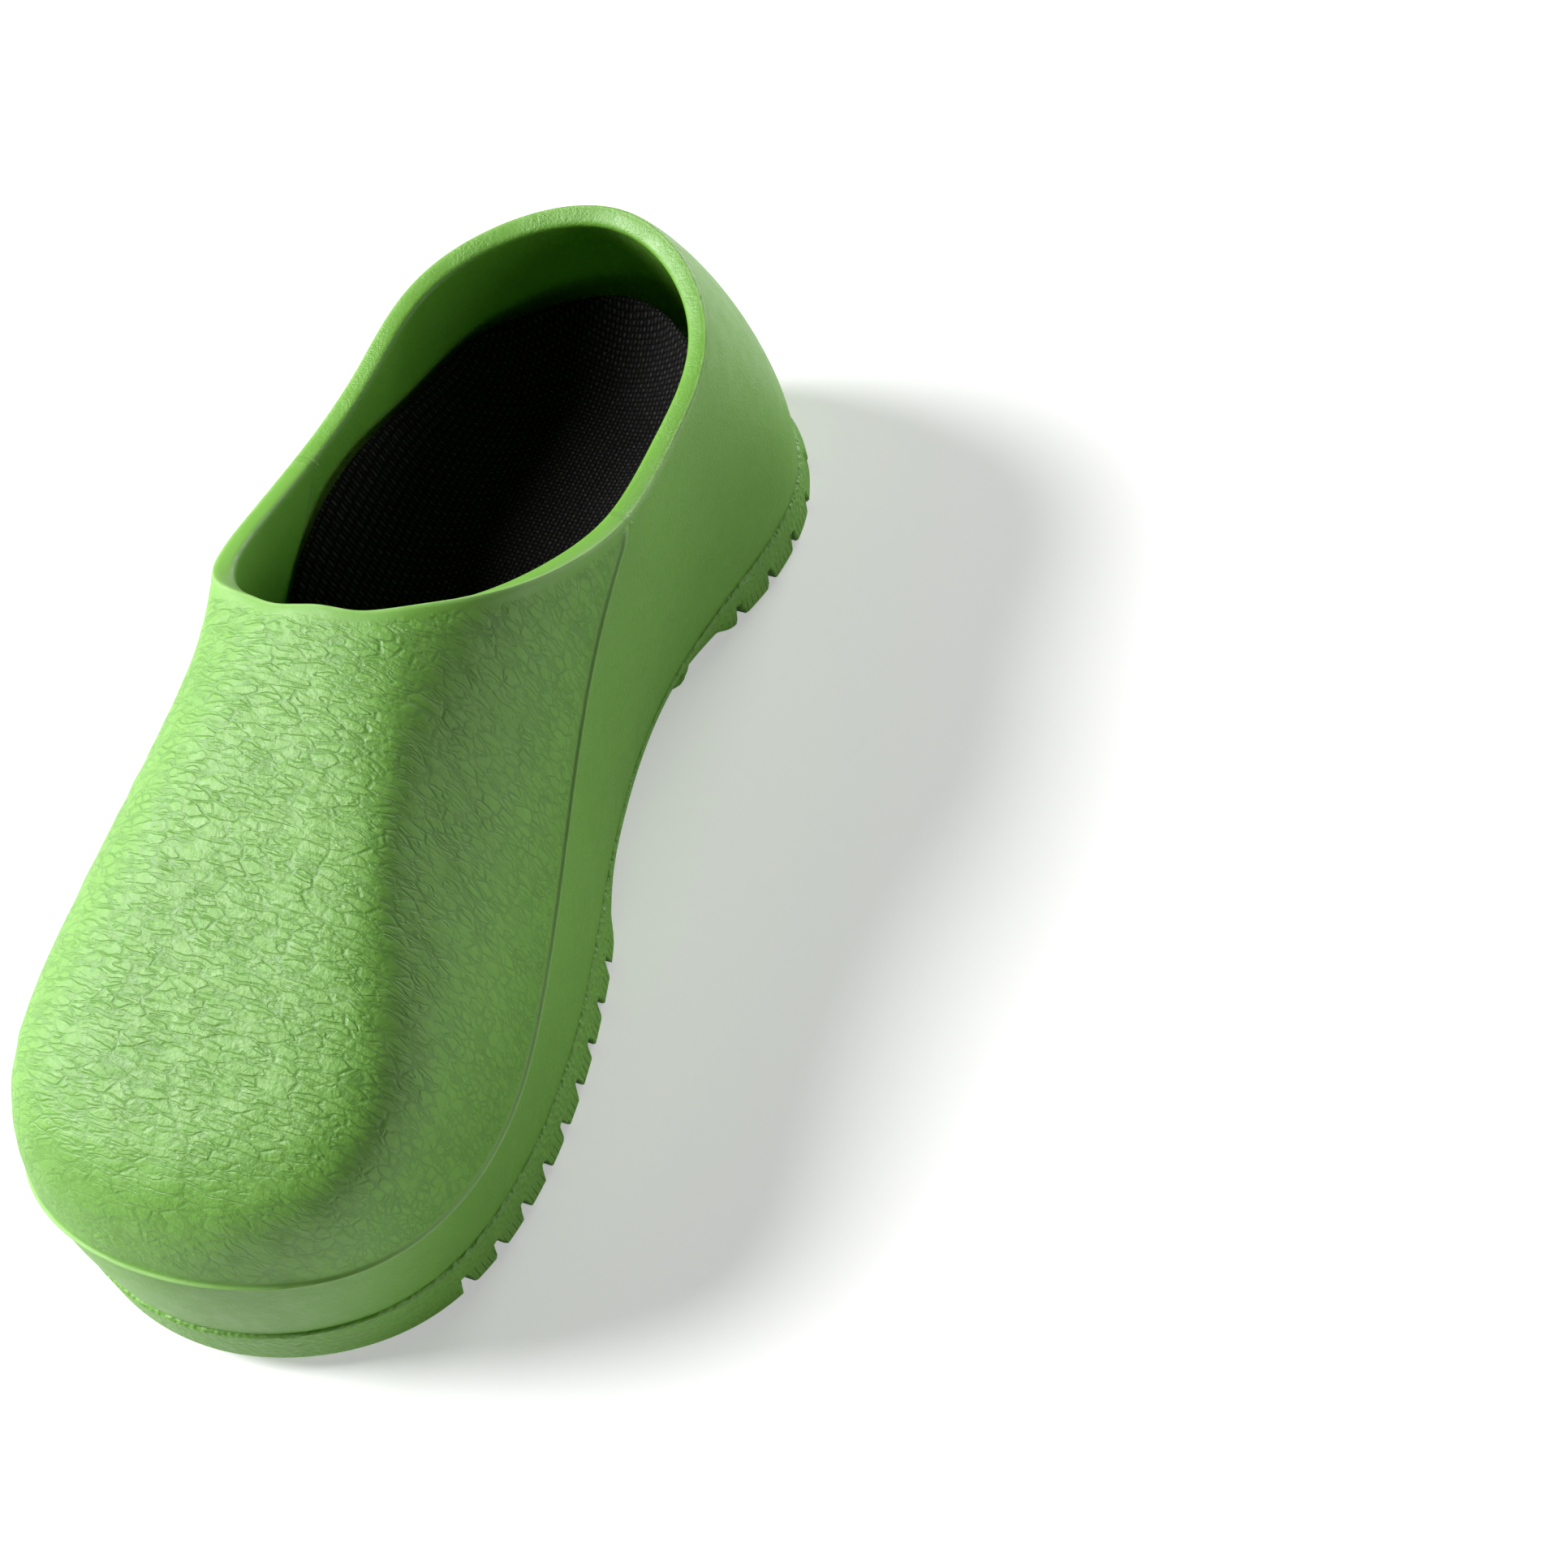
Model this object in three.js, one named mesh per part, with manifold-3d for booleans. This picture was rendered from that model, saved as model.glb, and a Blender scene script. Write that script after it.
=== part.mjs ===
// A right-foot garden clog moulded in soft green foam, with a loose footbed.
// Frame: millimetres, toe towards -Y, big-toe side towards +X, +Z up, origin on the ground
// below the middle of the clog.
//
// The wall is one swept surface. Its sections are cubic Bezier curves between four closed
// guide curves. Each guide has sixteen stations: station 0 is the toe tip, 4 is the arch
// side, 8 is the back of the heel and 12 is the outer side.

import * as THREE from 'three';
import { mergeVertices } from 'three/addons/utils/BufferGeometryUtils.js';
import Module from 'manifold-3d';

const wasm = await Module();
wasm.setup();

// ---- Driving dimensions, in millimetres ----

const STATIONS = 16;
const HEEL_STATION = STATIONS / 2;

const SOLE_EDGE = [
  [6, -135], [42, -118], [54, -85], [51, -47], [41, -10], [34, 28], [37, 66], [37, 107],
  [0, 132], [-37, 107], [-40, 66], [-42, 28], [-47, -10], [-53, -48], [-52, -88], [-33, -122],
];
const LOWER_GUIDE = [
  [5, -138, 66], [45, -123, 71], [56, -89, 70], [53, -46, 50],
  [45, -7, 42], [40, 31, 36], [40, 69, 36], [39, 109, 36],
  [0, 133, 38], [-37, 108, 36], [-40, 68, 36], [-42, 31, 36],
  [-47, -7, 41], [-52, -46, 49], [-52, -88, 57], [-36, -126, 65],
];
const UPPER_GUIDE = [
  [7, -112, 68], [46, -106, 71], [51, -78, 71], [44, -29, 64],
  [41, 10, 62], [41, 35, 60], [39, 65, 57], [35, 101, 60],
  [0, 127, 62], [-37, 101, 60], [-40, 65, 57], [-40, 36, 58],
  [-37, 8, 62], [-34, -24, 69], [-30, -63, 73], [-21, -100, 70],
];
const TOPLINE = [
  [0, -12, 99], [9, -11, 99], [19, -6, 98], [30, 3, 94],
  [37, 16, 87], [41, 36, 79], [40, 62, 75], [33, 94, 77],
  [0, 116, 80], [-34, 94, 78], [-40, 62, 75], [-41, 33, 76],
  [-39, 7, 83], [-32, -7, 90], [-20, -11, 94], [-10, -13, 97],
];

const CREASE_Z = 12;          // height of the crease between the wall and the outsole
const TOE_LIFT = 5;           // rise of the toe tip off the ground
const TOE_LIFT_START = -72;
const TOE_LIFT_RUN = 62;

const WALL_LOW = 8;           // wall thickness at the crease
const WALL_TOP = 5;           // wall thickness at the topline

const FLOOR_FORE = 20;        // inside floor under the toes
const FLOOR_HEEL = 30;        // inside floor under the heel
const FLOOR_RAMP = [-45, 55]; // stretch over which the floor climbs to the heel

const PANEL_LOW = 0.10;       // the vamp's lower edge, as a share of the wall section
const PANEL_TOE_RISE = 0.075;
const PANEL_TOE_REACH = 2;
const PANEL_SLOPE = 0.335;    // climb of the vamp's edge per station behind the ball
const PANEL_TURN = 2.45;
const PANEL_SOFTNESS = 0.2;
const PANEL_END = 5;          // last station, on each side, that the vamp reaches
const PANEL_GAP = 0.6;

const PART_GAP = 0.4;         // gap between stacked pieces
const FOOTBED_CLEARANCE = 2.4;
const LIFT_ROOM = 18;         // height over which the footbed lifts without touching the wall
const WALL_SAMPLES = 40;
const WALL_SAMPLE_TOP = 0.9;
const BASE_THICKNESS = 1.2;
const LINING_THICKNESS = 1.5;
const CORE_FORE = 3.5;
const CORE_HEEL = 5;
const CUP_REACH = 24;         // width of the raised border of the footbed
const CUP_HEEL = 16;
const CUP_FORE = 2;
const CUP_RAMP = [-60, 60];
const OUTER_RISE = 20;        // extra height of the footbed's border on the outer side
const OUTER_SIDE = [0, -30];
const OUTER_FORE = [-28, 18];
const OUTER_BACK = [20, 105];

const ARCH = [-19, 62];       // front and back of the raised arch bridge of the outsole
const ARCH_RAMP = 4;
const ARCH_RISE = 4;
const SOLE_FLARE_FORE = 1;    // how far the outsole's ground edge stands out of the crease
const SOLE_FLARE_HEEL = 4;
const SOLE_FLARE_RAMP = [105, 132];
const SOLE_TUCK_ARCH = 3;      // how far the arch side of the outsole tucks in
const SOLE_TUCK_FRONT = [-30, 10];
const SOLE_TUCK_BACK = [40, 80];
const SHOULDER_Z = 8;
const SHOULDER_SHARE = 0.7;

const TREAD_DEPTH = 4;
const TREAD_WIDTH = 4;
const TREAD_SPAN = 56;
const TREAD_FORE_ROWS = [-93, -73, -53, -33];
const TREAD_HEEL_ROWS = [76, 98];
const TREAD_LANES = [-20, 20];
const TREAD_FORE = [-104, -22];
const TREAD_HEEL = [66, 114];

const NOTCH_WIDTH = 2.6;
const NOTCH_DEPTH = 5;
const NOTCH_HEIGHT = 6;
const FORE_NOTCHES = { count: 9, first: -28, pitch: -9.6 };
const HEEL_NOTCHES = { count: 5, first: 67.5, pitch: 11.6 };

const PLATE_THICKNESS = 2.4;
const PLATE = { back: 48, front: -2, waistY: 23, endHalfWidth: 24, waistHalfWidth: 13 };

// ---- Mesh resolution ----

const COLUMNS = 48;
const OUTER_ROWS = 8;
const INNER_ROWS = 9;
const PANEL_ROWS = 12;
const RUNG_CELLS = 6;
const SPLINE_PASSES = 24;
const TINY = 1e-3;

// ---- Shape functions ----

const clamp01 = (value) => Math.min(1, Math.max(0, value));
const mix = (a, b, share) => a + (b - a) * share;

function smoothRamp([from, to], value) {
  const share = clamp01((value - from) / (to - from));
  return share * share * (3 - 2 * share);
}

// A closed uniform cubic B-spline that passes through the given points.
function closedSpline(points) {
  const count = points.length;
  const wrap = (index) => ((index % count) + count) % count;
  let controls = points;
  for (let pass = 0; pass < SPLINE_PASSES; pass += 1) {
    controls = controls.map((control, i) => control.map((value, axis) => {
      const sides = controls[wrap(i - 1)][axis] + controls[wrap(i + 1)][axis];
      return value + points[i][axis] - (4 * value + sides) / 6;
    }));
  }
  return (station) => {
    const start = Math.floor(station);
    const t = station - start;
    const weights = [
      (1 - t) ** 3 / 6,
      (3 * t ** 3 - 6 * t ** 2 + 4) / 6,
      (-3 * t ** 3 + 3 * t ** 2 + 3 * t + 1) / 6,
      t ** 3 / 6,
    ];
    return points[0].map((_, axis) => weights.reduce(
      (sum, weight, j) => sum + weight * controls[wrap(start - 1 + j)][axis], 0));
  };
}

const soleEdge = closedSpline(SOLE_EDGE);
const lowerGuide = closedSpline(LOWER_GUIDE);
const upperGuide = closedSpline(UPPER_GUIDE);
const topline = closedSpline(TOPLINE);

// A point of the outer wall: v runs from 0 at the crease to 1 at the topline.
function outerWall(station, v) {
  const guides = [
    [...soleEdge(station), CREASE_Z], lowerGuide(station), upperGuide(station), topline(station),
  ];
  const curve = new THREE.CubicBezierCurve3(...guides.map((p) => new THREE.Vector3(...p)));
  return curve.getPoint(v);
}

function outwardNormal(station, v) {
  const low = Math.min(v, 1 - TINY);
  const along = outerWall(station + TINY, low).sub(outerWall(station - TINY, low));
  const up = outerWall(station, low + TINY).sub(outerWall(station, low));
  return along.cross(up).normalize();
}

function innerWall(station, v) {
  const thickness = mix(WALL_LOW, WALL_TOP, v);
  return outerWall(station, v).addScaledVector(outwardNormal(station, v), -thickness);
}

const floorZ = (y) => mix(FLOOR_FORE, FLOOR_HEEL, smoothRamp(FLOOR_RAMP, y));

// The share v at which the wall section crosses the inside floor.
function floorShare(station) {
  let low = 0;
  let high = 0.5;
  while (high - low > TINY / 10) {
    const middle = (low + high) / 2;
    const point = outerWall(station, middle);
    if (point.z < floorZ(point.y)) low = middle;
    else high = middle;
  }
  return low;
}

// Distance from the toe tip in stations, the same way on both sides.
const fromToe = (station) => Math.min(station, STATIONS - station);

// The parting line between the side shell and the vamp, as a share of the section.
function partingShare(station) {
  const reach = fromToe(station);
  const toeRise = PANEL_TOE_RISE * Math.max(0, 1 - (reach / PANEL_TOE_REACH) ** 2) ** 2;
  const climb = Math.log(1 + Math.exp((reach - PANEL_TURN) / PANEL_SOFTNESS)) * PANEL_SOFTNESS;
  return PANEL_LOW + toeRise + PANEL_SLOPE * climb;
}

const isUnderVamp = (station) => fromToe(station) <= PANEL_END;
const wallTopShare = (station) => (isUnderVamp(station) ? partingShare(station) : 1);

const toeLift = (y) => TOE_LIFT * (Math.max(0, TOE_LIFT_START - y) / TOE_LIFT_RUN) ** 2;

// ---- Mesh building ----

class Solid {
  constructor() {
    this.points = [];
    this.triangles = [];
  }

  add(point) {
    this.points.push(point.clone());
    return this.points.length - 1;
  }

  addLoop(points) {
    return points.map((point) => this.add(point));
  }

  triangle(a, b, c) {
    if (a !== b && b !== c && c !== a) this.triangles.push(a, b, c);
  }

  quad(a, b, c, d) {
    this.triangle(a, b, c);
    this.triangle(a, c, d);
  }

  // Side faces between two closed loops; the loops turn anticlockwise seen from above.
  band(lower, upper) {
    lower.forEach((start, i) => {
      const next = (i + 1) % lower.length;
      this.quad(start, lower[next], upper[next], upper[i]);
    });
  }

  // A cap of rungs that run from the arch side to the outer side of a closed loop.
  cap(loop, height, facesUp) {
    const half = loop.length / 2;
    const rungs = [];
    for (let k = 0; k <= half; k += 1) {
      const near = loop[k];
      const far = loop[(loop.length - k) % loop.length];
      const rung = [near];
      for (let j = 1; j < RUNG_CELLS; j += 1) {
        if (near === far) {
          rung.push(near);
        } else {
          const share = (1 - Math.cos((Math.PI * j) / RUNG_CELLS)) / 2;
          const point = this.points[near].clone().lerp(this.points[far], share);
          point.z = height(point.x, point.y);
          rung.push(this.add(point));
        }
      }
      rungs.push([...rung, far]);
    }
    for (let k = 0; k < half; k += 1) {
      for (let j = 0; j < RUNG_CELLS; j += 1) {
        const [a, b] = [rungs[k][j], rungs[k + 1][j]];
        const [c, d] = [rungs[k + 1][j + 1], rungs[k][j + 1]];
        if (facesUp) this.quad(a, b, c, d);
        else this.quad(a, d, c, b);
      }
    }
  }

  // The finished geometry, with the toe lifted off the ground.
  geometry() {
    const geometry = new THREE.BufferGeometry();
    const positions = this.points.flatMap((p) => [p.x, p.y, p.z + toeLift(p.y)]);
    geometry.setAttribute('position', new THREE.Float32BufferAttribute(positions, 3));
    geometry.setIndex(this.triangles);
    return geometry;
  }
}

const columnStations = Array.from({ length: COLUMNS }, (_, i) => (i * STATIONS) / COLUMNS);

function steps(count) {
  return Array.from({ length: count + 1 }, (_, i) => i / count);
}

function atHeight(point, z) {
  return new THREE.Vector3(point.x, point.y, z);
}

// A closed loop moved sideways by a distance that may vary; positive is outwards.
function offsetLoop(loop, distance) {
  return loop.map((point, i) => {
    const next = loop[(i + 1) % loop.length];
    const last = loop[(i + loop.length - 1) % loop.length];
    const outward = new THREE.Vector3(next.y - last.y, last.x - next.x, 0).normalize();
    return point.clone().addScaledVector(outward, distance(point));
  });
}

// A pad between two closed outlines and two height fields.
function padGeometry(lowOutline, highOutline, lowZ, highZ) {
  const solid = new Solid();
  const lower = solid.addLoop(lowOutline.map((p) => atHeight(p, lowZ(p.x, p.y))));
  const upper = solid.addLoop(highOutline.map((p) => atHeight(p, highZ(p.x, p.y))));
  solid.cap(lower, lowZ, false);
  solid.band(lower, upper);
  solid.cap(upper, highZ, true);
  return solid.geometry();
}

function toManifold(geometry) {
  const bare = geometry.clone();
  bare.deleteAttribute('normal');
  bare.deleteAttribute('uv');
  const merged = mergeVertices(bare, TINY);
  return new wasm.Manifold(new wasm.Mesh({
    numProp: 3,
    vertProperties: new Float32Array(merged.attributes.position.array),
    triVerts: new Uint32Array(merged.index.array),
  }));
}

function fromManifold(solid) {
  const mesh = solid.getMesh();
  const geometry = new THREE.BufferGeometry();
  geometry.setAttribute('position', new THREE.BufferAttribute(mesh.vertProperties, 3));
  geometry.setIndex(new THREE.BufferAttribute(mesh.triVerts, 1));
  return geometry;
}

// ---- Side shell: heel counter, collar, sidewall and inside floor ----

function sideShellGeometry() {
  const solid = new Solid();
  const outerLoops = steps(OUTER_ROWS).map((share) => solid.addLoop(
    columnStations.map((s) => outerWall(s, share * wallTopShare(s)))));
  const innerLoops = steps(INNER_ROWS).map((share) => solid.addLoop(
    columnStations.map((s) => {
      const point = innerWall(s, mix(wallTopShare(s), floorShare(s), share));
      return share === 1 ? atHeight(point, floorZ(point.y)) : point;
    })));
  const loops = [...outerLoops, ...innerLoops];
  for (let i = 1; i < loops.length; i += 1) solid.band(loops[i - 1], loops[i]);
  solid.cap(loops[0], () => CREASE_Z, false);
  solid.cap(loops[loops.length - 1], (x, y) => floorZ(y), true);
  return solid.geometry();
}

// ---- Vamp: the grained panel over the toes and instep ----

function vampGeometry() {
  const solid = new Solid();
  const stations = columnStations
    .filter(isUnderVamp)
    .map((s) => (s > HEEL_STATION ? s - STATIONS : s))
    .sort((a, b) => a - b);
  const rings = stations.map((s) => {
    const station = (s + STATIONS) % STATIONS;
    const start = partingShare(station);
    const slope = outerWall(station, start + TINY).distanceTo(outerWall(station, start)) / TINY;
    const low = start + PANEL_GAP / slope;
    const shares = steps(PANEL_ROWS).map((share) => mix(low, 1, share));
    const outer = shares.map((v) => outerWall(station, v));
    const inner = shares.reverse().map((v) => innerWall(station, v));
    return solid.addLoop([...outer, ...inner]);
  });
  for (let i = 1; i < rings.length; i += 1) solid.band(rings[i], rings[i - 1]);
  const closeEnd = (ring, forwards) => {
    for (let j = 0; j < PANEL_ROWS; j += 1) {
      const corners = [ring[j], ring[j + 1], ring.at(-j - 2), ring.at(-j - 1)];
      solid.quad(...(forwards ? corners : corners.reverse()));
    }
  };
  closeEnd(rings[0], true);
  closeEnd(rings.at(-1), false);
  return solid.geometry();
}

// ---- Outsole: lugged tread with notched edges and a raised arch bridge ----

function archRise(y) {
  const enter = smoothRamp([ARCH[0] - ARCH_RAMP, ARCH[0] + ARCH_RAMP], y);
  const leave = smoothRamp([ARCH[1] - ARCH_RAMP, ARCH[1] + ARCH_RAMP], y);
  return ARCH_RISE * (enter - leave);
}

function soleFlare(point) {
  const heel = smoothRamp(SOLE_FLARE_RAMP, point.y);
  const arch = smoothRamp(SOLE_TUCK_FRONT, point.y) * (1 - smoothRamp(SOLE_TUCK_BACK, point.y));
  const tuck = point.x > 0 ? SOLE_TUCK_ARCH : 0;
  return mix(SOLE_FLARE_FORE, SOLE_FLARE_HEEL, heel) - (tuck + SOLE_FLARE_FORE) * arch;
}

// The two points where the crease line crosses a given y.
function soleEdgeAt(y) {
  return [[0.5, HEEL_STATION - 0.2], [STATIONS - 0.5, HEEL_STATION + 0.2]].map(([front, back]) => {
    let low = front;
    let high = back;
    while (Math.abs(high - low) > TINY) {
      const middle = (low + high) / 2;
      if (soleEdge(middle)[1] < y) low = middle;
      else high = middle;
    }
    return new THREE.Vector3(...soleEdge(low), 0);
  });
}

function boxAt(width, depth, height, x, y, z) {
  return toManifold(new THREE.BoxGeometry(width, depth, height).translate(x, y, z));
}

function notchCutters({ count, first, pitch }) {
  const rows = Array.from({ length: count }, (_, i) => first + i * pitch);
  return rows.flatMap((y) => soleEdgeAt(y).map((edge) => boxAt(
    2 * NOTCH_DEPTH, NOTCH_WIDTH, 2 * NOTCH_HEIGHT,
    edge.x + Math.sign(edge.x) * soleFlare(edge), y, toeLift(y))));
}

function grooveCutters(rows, [front, back]) {
  const across = rows.map((y) => boxAt(
    TREAD_SPAN, TREAD_WIDTH, 2 * TREAD_DEPTH, 0, y, toeLift(y)));
  const along = TREAD_LANES.map((x) => boxAt(
    TREAD_WIDTH, back - front, 2 * TREAD_DEPTH, x, (front + back) / 2, 0));
  return [...across, ...along];
}

function outsoleGeometry() {
  const crease = columnStations.map((s) => new THREE.Vector3(...soleEdge(s), CREASE_Z - PART_GAP));
  const solid = new Solid();
  const top = solid.addLoop(crease);
  const shoulder = solid.addLoop(offsetLoop(crease, (p) => SHOULDER_SHARE * soleFlare(p))
    .map((p) => atHeight(p, SHOULDER_Z)));
  const ground = solid.addLoop(offsetLoop(crease, soleFlare).map((p) => atHeight(p, archRise(p.y))));
  solid.cap(ground, (x, y) => archRise(y), false);
  solid.band(ground, shoulder);
  solid.band(shoulder, top);
  solid.cap(top, () => CREASE_Z - PART_GAP, true);
  const cutters = [
    ...notchCutters(FORE_NOTCHES),
    ...notchCutters(HEEL_NOTCHES),
    ...grooveCutters(TREAD_FORE_ROWS, TREAD_FORE),
    ...grooveCutters(TREAD_HEEL_ROWS, TREAD_HEEL),
  ];
  const cut = cutters.reduce((body, cutter) => body.subtract(cutter), toManifold(solid.geometry()));
  return fromManifold(cut);
}

// ---- Arch plate: a smooth waisted plate under the arch ----

function archPlateGeometry() {
  const { back, front, waistY, endHalfWidth, waistHalfWidth } = PLATE;
  const shape = new THREE.Shape();
  shape.moveTo(-endHalfWidth, front);
  shape.lineTo(endHalfWidth, front);
  shape.quadraticCurveTo(2 * waistHalfWidth - endHalfWidth, waistY, endHalfWidth, back);
  shape.lineTo(-endHalfWidth, back);
  shape.quadraticCurveTo(endHalfWidth - 2 * waistHalfWidth, waistY, -endHalfWidth, front);
  const geometry = new THREE.ExtrudeGeometry(shape, {
    depth: PLATE_THICKNESS, bevelEnabled: false, curveSegments: 10,
  });
  return geometry.translate(0, 0, ARCH_RISE - PART_GAP - PLATE_THICKNESS);
}

// ---- Footbed: jute base, cork-latex core and woven lining ----

// The footbed has to lift out, so at each height its outline keeps clear of the innermost
// wall at that height and over the room above it.
const floorOutline = columnStations.map((s) => atHeight(innerWall(s, floorShare(s)), 0));
const wallProfiles = columnStations.map((s) => steps(WALL_SAMPLES).map((share) => (
  innerWall(s, mix(floorShare(s), WALL_SAMPLE_TOP, share)))));

function footbedOutline(heightAt) {
  const outwards = offsetLoop(floorOutline, () => 1).map((p, i) => p.sub(floorOutline[i]));
  return floorOutline.map((origin, i) => {
    const height = heightAt(origin.x, origin.y);
    const reaches = wallProfiles[i]
      .filter((p) => p.z > height - 1 && p.z < height + LIFT_ROOM)
      .map((p) => atHeight(p, 0).sub(origin).dot(outwards[i]));
    return origin.clone().addScaledVector(outwards[i], Math.min(...reaches) - FOOTBED_CLEARANCE);
  });
}

const baseLow = (x, y) => floorZ(y) + PART_GAP;
const baseHigh = (x, y) => baseLow(x, y) + BASE_THICKNESS;
const coreLow = (x, y) => baseHigh(x, y) + PART_GAP;

const coreCentre = (y) => mix(CORE_FORE, CORE_HEEL, smoothRamp(CUP_RAMP, y));

function cupRise(x, y) {
  const stretch = smoothRamp(OUTER_FORE, y) * (1 - smoothRamp(OUTER_BACK, y));
  const outer = OUTER_RISE * smoothRamp(OUTER_SIDE, x) * stretch;
  return mix(CUP_FORE, CUP_HEEL, smoothRamp(CUP_RAMP, y)) + outer;
}

const borderHeight = (x, y) => coreLow(x, y) + coreCentre(y) + cupRise(x, y);

const baseOutline = footbedOutline(baseHigh);
const borderOutline = footbedOutline(borderHeight);

function edgeDistance(x, y) {
  const point = new THREE.Vector3(x, y, 0);
  const nearest = new THREE.Vector3();
  return Math.min(...borderOutline.map((p, i) => {
    const side = new THREE.Line3(p, borderOutline[(i + 1) % borderOutline.length]);
    return side.closestPointToPoint(point, true, nearest).distanceTo(point);
  }));
}

function coreHigh(x, y) {
  const border = clamp01(1 - edgeDistance(x, y) / CUP_REACH) ** 2;
  return coreLow(x, y) + coreCentre(y) + cupRise(x, y) * border;
}

const liningLow = (x, y) => coreHigh(x, y) + PART_GAP;
const liningHigh = (x, y) => liningLow(x, y) + LINING_THICKNESS;

// ---- Assembly ----

const clog = new THREE.Group();

function addPart(name, geometry, color, roughness) {
  const material = new THREE.MeshStandardMaterial({ color, roughness, metalness: 0 });
  const mesh = new THREE.Mesh(geometry, material);
  mesh.name = name;
  clog.add(mesh);
}

addPart('side_shell', sideShellGeometry(), 0x6fae45, 0.55);
addPart('vamp', vampGeometry(), 0x76b84b, 0.5);
addPart('outsole', outsoleGeometry(), 0x5f9d3a, 0.7);
addPart('arch_plate', archPlateGeometry(), 0x6aa841, 0.5);
const baseGeometry = padGeometry(baseOutline, baseOutline, baseLow, baseHigh);
const coreGeometry = padGeometry(baseOutline, borderOutline, coreLow, coreHigh);
const liningGeometry = padGeometry(borderOutline, borderOutline, liningLow, liningHigh);
addPart('footbed_base', baseGeometry, 0x8a7350, 0.95);
addPart('footbed_core', coreGeometry, 0xa9845a, 0.9);
addPart('footbed_lining', liningGeometry, 0x18171a, 0.95);

export default clog;
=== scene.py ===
"""A right-foot garden clog in green foam: its looks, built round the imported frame."""
import math

import bpy
import numpy as np
from mathutils import Matrix, Vector, noise


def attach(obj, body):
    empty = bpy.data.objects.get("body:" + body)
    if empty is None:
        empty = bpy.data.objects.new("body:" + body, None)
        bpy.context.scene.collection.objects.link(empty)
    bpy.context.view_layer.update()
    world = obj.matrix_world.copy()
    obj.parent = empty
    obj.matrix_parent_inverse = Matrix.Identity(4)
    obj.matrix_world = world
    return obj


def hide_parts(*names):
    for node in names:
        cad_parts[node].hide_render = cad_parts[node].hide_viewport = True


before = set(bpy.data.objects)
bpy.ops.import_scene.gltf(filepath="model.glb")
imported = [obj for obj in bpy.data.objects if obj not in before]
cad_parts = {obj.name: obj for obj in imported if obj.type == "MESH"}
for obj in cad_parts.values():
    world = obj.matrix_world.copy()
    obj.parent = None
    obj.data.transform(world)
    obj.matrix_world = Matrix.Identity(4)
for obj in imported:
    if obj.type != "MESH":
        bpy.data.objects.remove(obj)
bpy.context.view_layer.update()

# ---------------------------------------------------------------------------
# Shape of the clog, in the model's millimetres
# ---------------------------------------------------------------------------

UNIT = 0.001                 # one model millimetre in metres

# Closed outlines through 16 stations, from the toe round the arch side and the heel.
STATIONS = 16
SOLE_EDGE = [
    (6, -135), (42, -118), (54, -85), (51, -47), (41, -10), (34, 28), (37, 66), (37, 107),
    (0, 132), (-37, 107), (-40, 66), (-42, 28), (-47, -10), (-53, -48), (-52, -88), (-33, -122),
]
LOWER_GUIDE = [
    (5, -138, 66), (45, -123, 71), (56, -89, 70), (53, -46, 50),
    (45, -7, 42), (40, 31, 36), (40, 69, 36), (39, 109, 36),
    (0, 133, 38), (-37, 108, 36), (-40, 68, 36), (-42, 31, 36),
    (-47, -7, 41), (-52, -46, 49), (-52, -88, 57), (-36, -126, 65),
]
UPPER_GUIDE = [
    (7, -112, 68), (46, -106, 71), (51, -78, 71), (44, -29, 64),
    (41, 10, 62), (41, 35, 60), (39, 65, 57), (35, 101, 60),
    (0, 127, 62), (-37, 101, 60), (-40, 65, 57), (-40, 36, 58),
    (-37, 8, 62), (-34, -24, 69), (-30, -63, 73), (-21, -100, 70),
]
TOPLINE = [
    (0, -12, 99), (9, -11, 99), (19, -6, 98), (30, 3, 94),
    (37, 16, 87), (41, 36, 79), (40, 62, 75), (33, 94, 77),
    (0, 116, 80), (-34, 94, 78), (-40, 62, 75), (-41, 33, 76),
    (-39, 7, 83), (-32, -7, 90), (-20, -11, 94), (-10, -13, 97),
]

CREASE_Z = 12                # where the outsole meets the shell
TOE_LIFT = 5
TOE_LIFT_START = -72
TOE_LIFT_RUN = 62
WALL_LOW = 8                 # wall thickness at the crease and at the topline
WALL_TOP = 5
FLOOR_FORE = 20
FLOOR_HEEL = 30
FLOOR_RAMP = (-45, 55)
TINY = 1e-3                  # a step along a surface, for its slope
SPLINE_ROUNDS = 24           # rounds that settle the spline's control points
HALVINGS = 14                # of the span in which the floor is searched


def ramp(ends, value):
    """A smooth climb from 0 to 1 between two ends."""
    share = np.clip((value - ends[0]) / (ends[1] - ends[0]), 0, 1)
    return share * share * (3 - 2 * share)


def mix(low, high, share):
    return low + (high - low) * share


def closed_spline(points):
    """A closed uniform cubic B-spline through the points, as a function of the station."""
    points = np.array(points, float)
    controls = points.copy()
    for _ in range(SPLINE_ROUNDS):
        sides = np.roll(controls, 1, 0) + np.roll(controls, -1, 0)
        controls += points - (4 * controls + sides) / 6

    def at(station):
        start = np.floor(station).astype(int)
        t = (station - start)[..., None]
        weights = (
            (1 - t) ** 3 / 6,
            (3 * t ** 3 - 6 * t ** 2 + 4) / 6,
            (-3 * t ** 3 + 3 * t ** 2 + 3 * t + 1) / 6,
            t ** 3 / 6,
        )
        count = len(points)
        return sum(w * controls[(start - 1 + j) % count] for j, w in enumerate(weights))

    return at


sole_edge = closed_spline(SOLE_EDGE)
lower_guide = closed_spline(LOWER_GUIDE)
upper_guide = closed_spline(UPPER_GUIDE)
topline = closed_spline(TOPLINE)


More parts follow.
